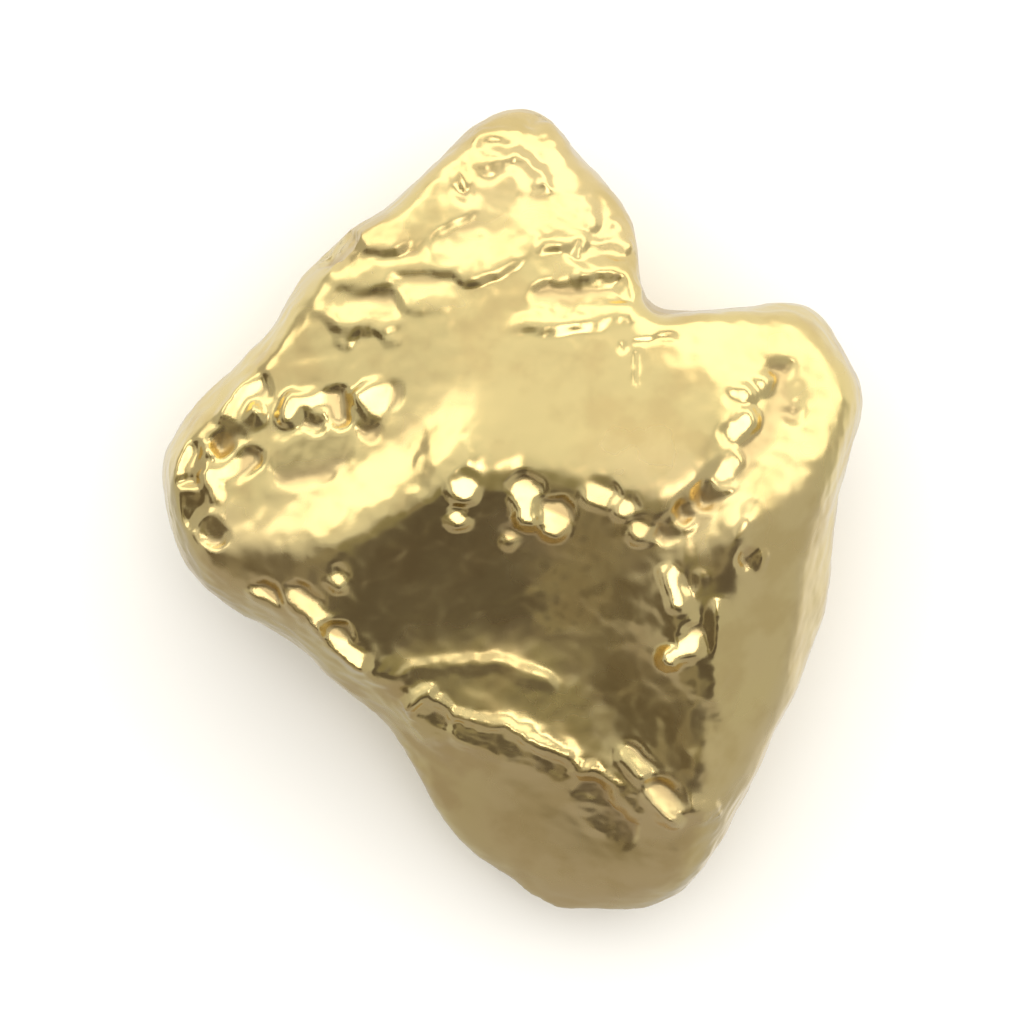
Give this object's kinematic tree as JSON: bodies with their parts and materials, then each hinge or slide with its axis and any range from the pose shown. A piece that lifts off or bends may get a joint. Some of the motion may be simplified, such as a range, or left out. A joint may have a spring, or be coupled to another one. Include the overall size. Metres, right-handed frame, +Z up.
{
  "type": "gold nugget",
  "caption": "Waterworn nugget of native gold, in one lump with a pointed tip, a notched right side and a hollow under a brow. It rests on a worn flat.",
  "frame": {"origin": "middle of the bounding box, on the surface the nugget rests on, at the worn flat of its underside", "axes": "+Z up from the worn flat, +Y from the blunt foot to the pointed tip, +X towards the lobe beside the notch"},
  "size_m": [0.0122, 0.014, 0.0063],
  "materials": {
    "native_gold": null
  },
  "bodies": {
    "root": {"nugget": "native_gold"}
  },
  "joints": []
}
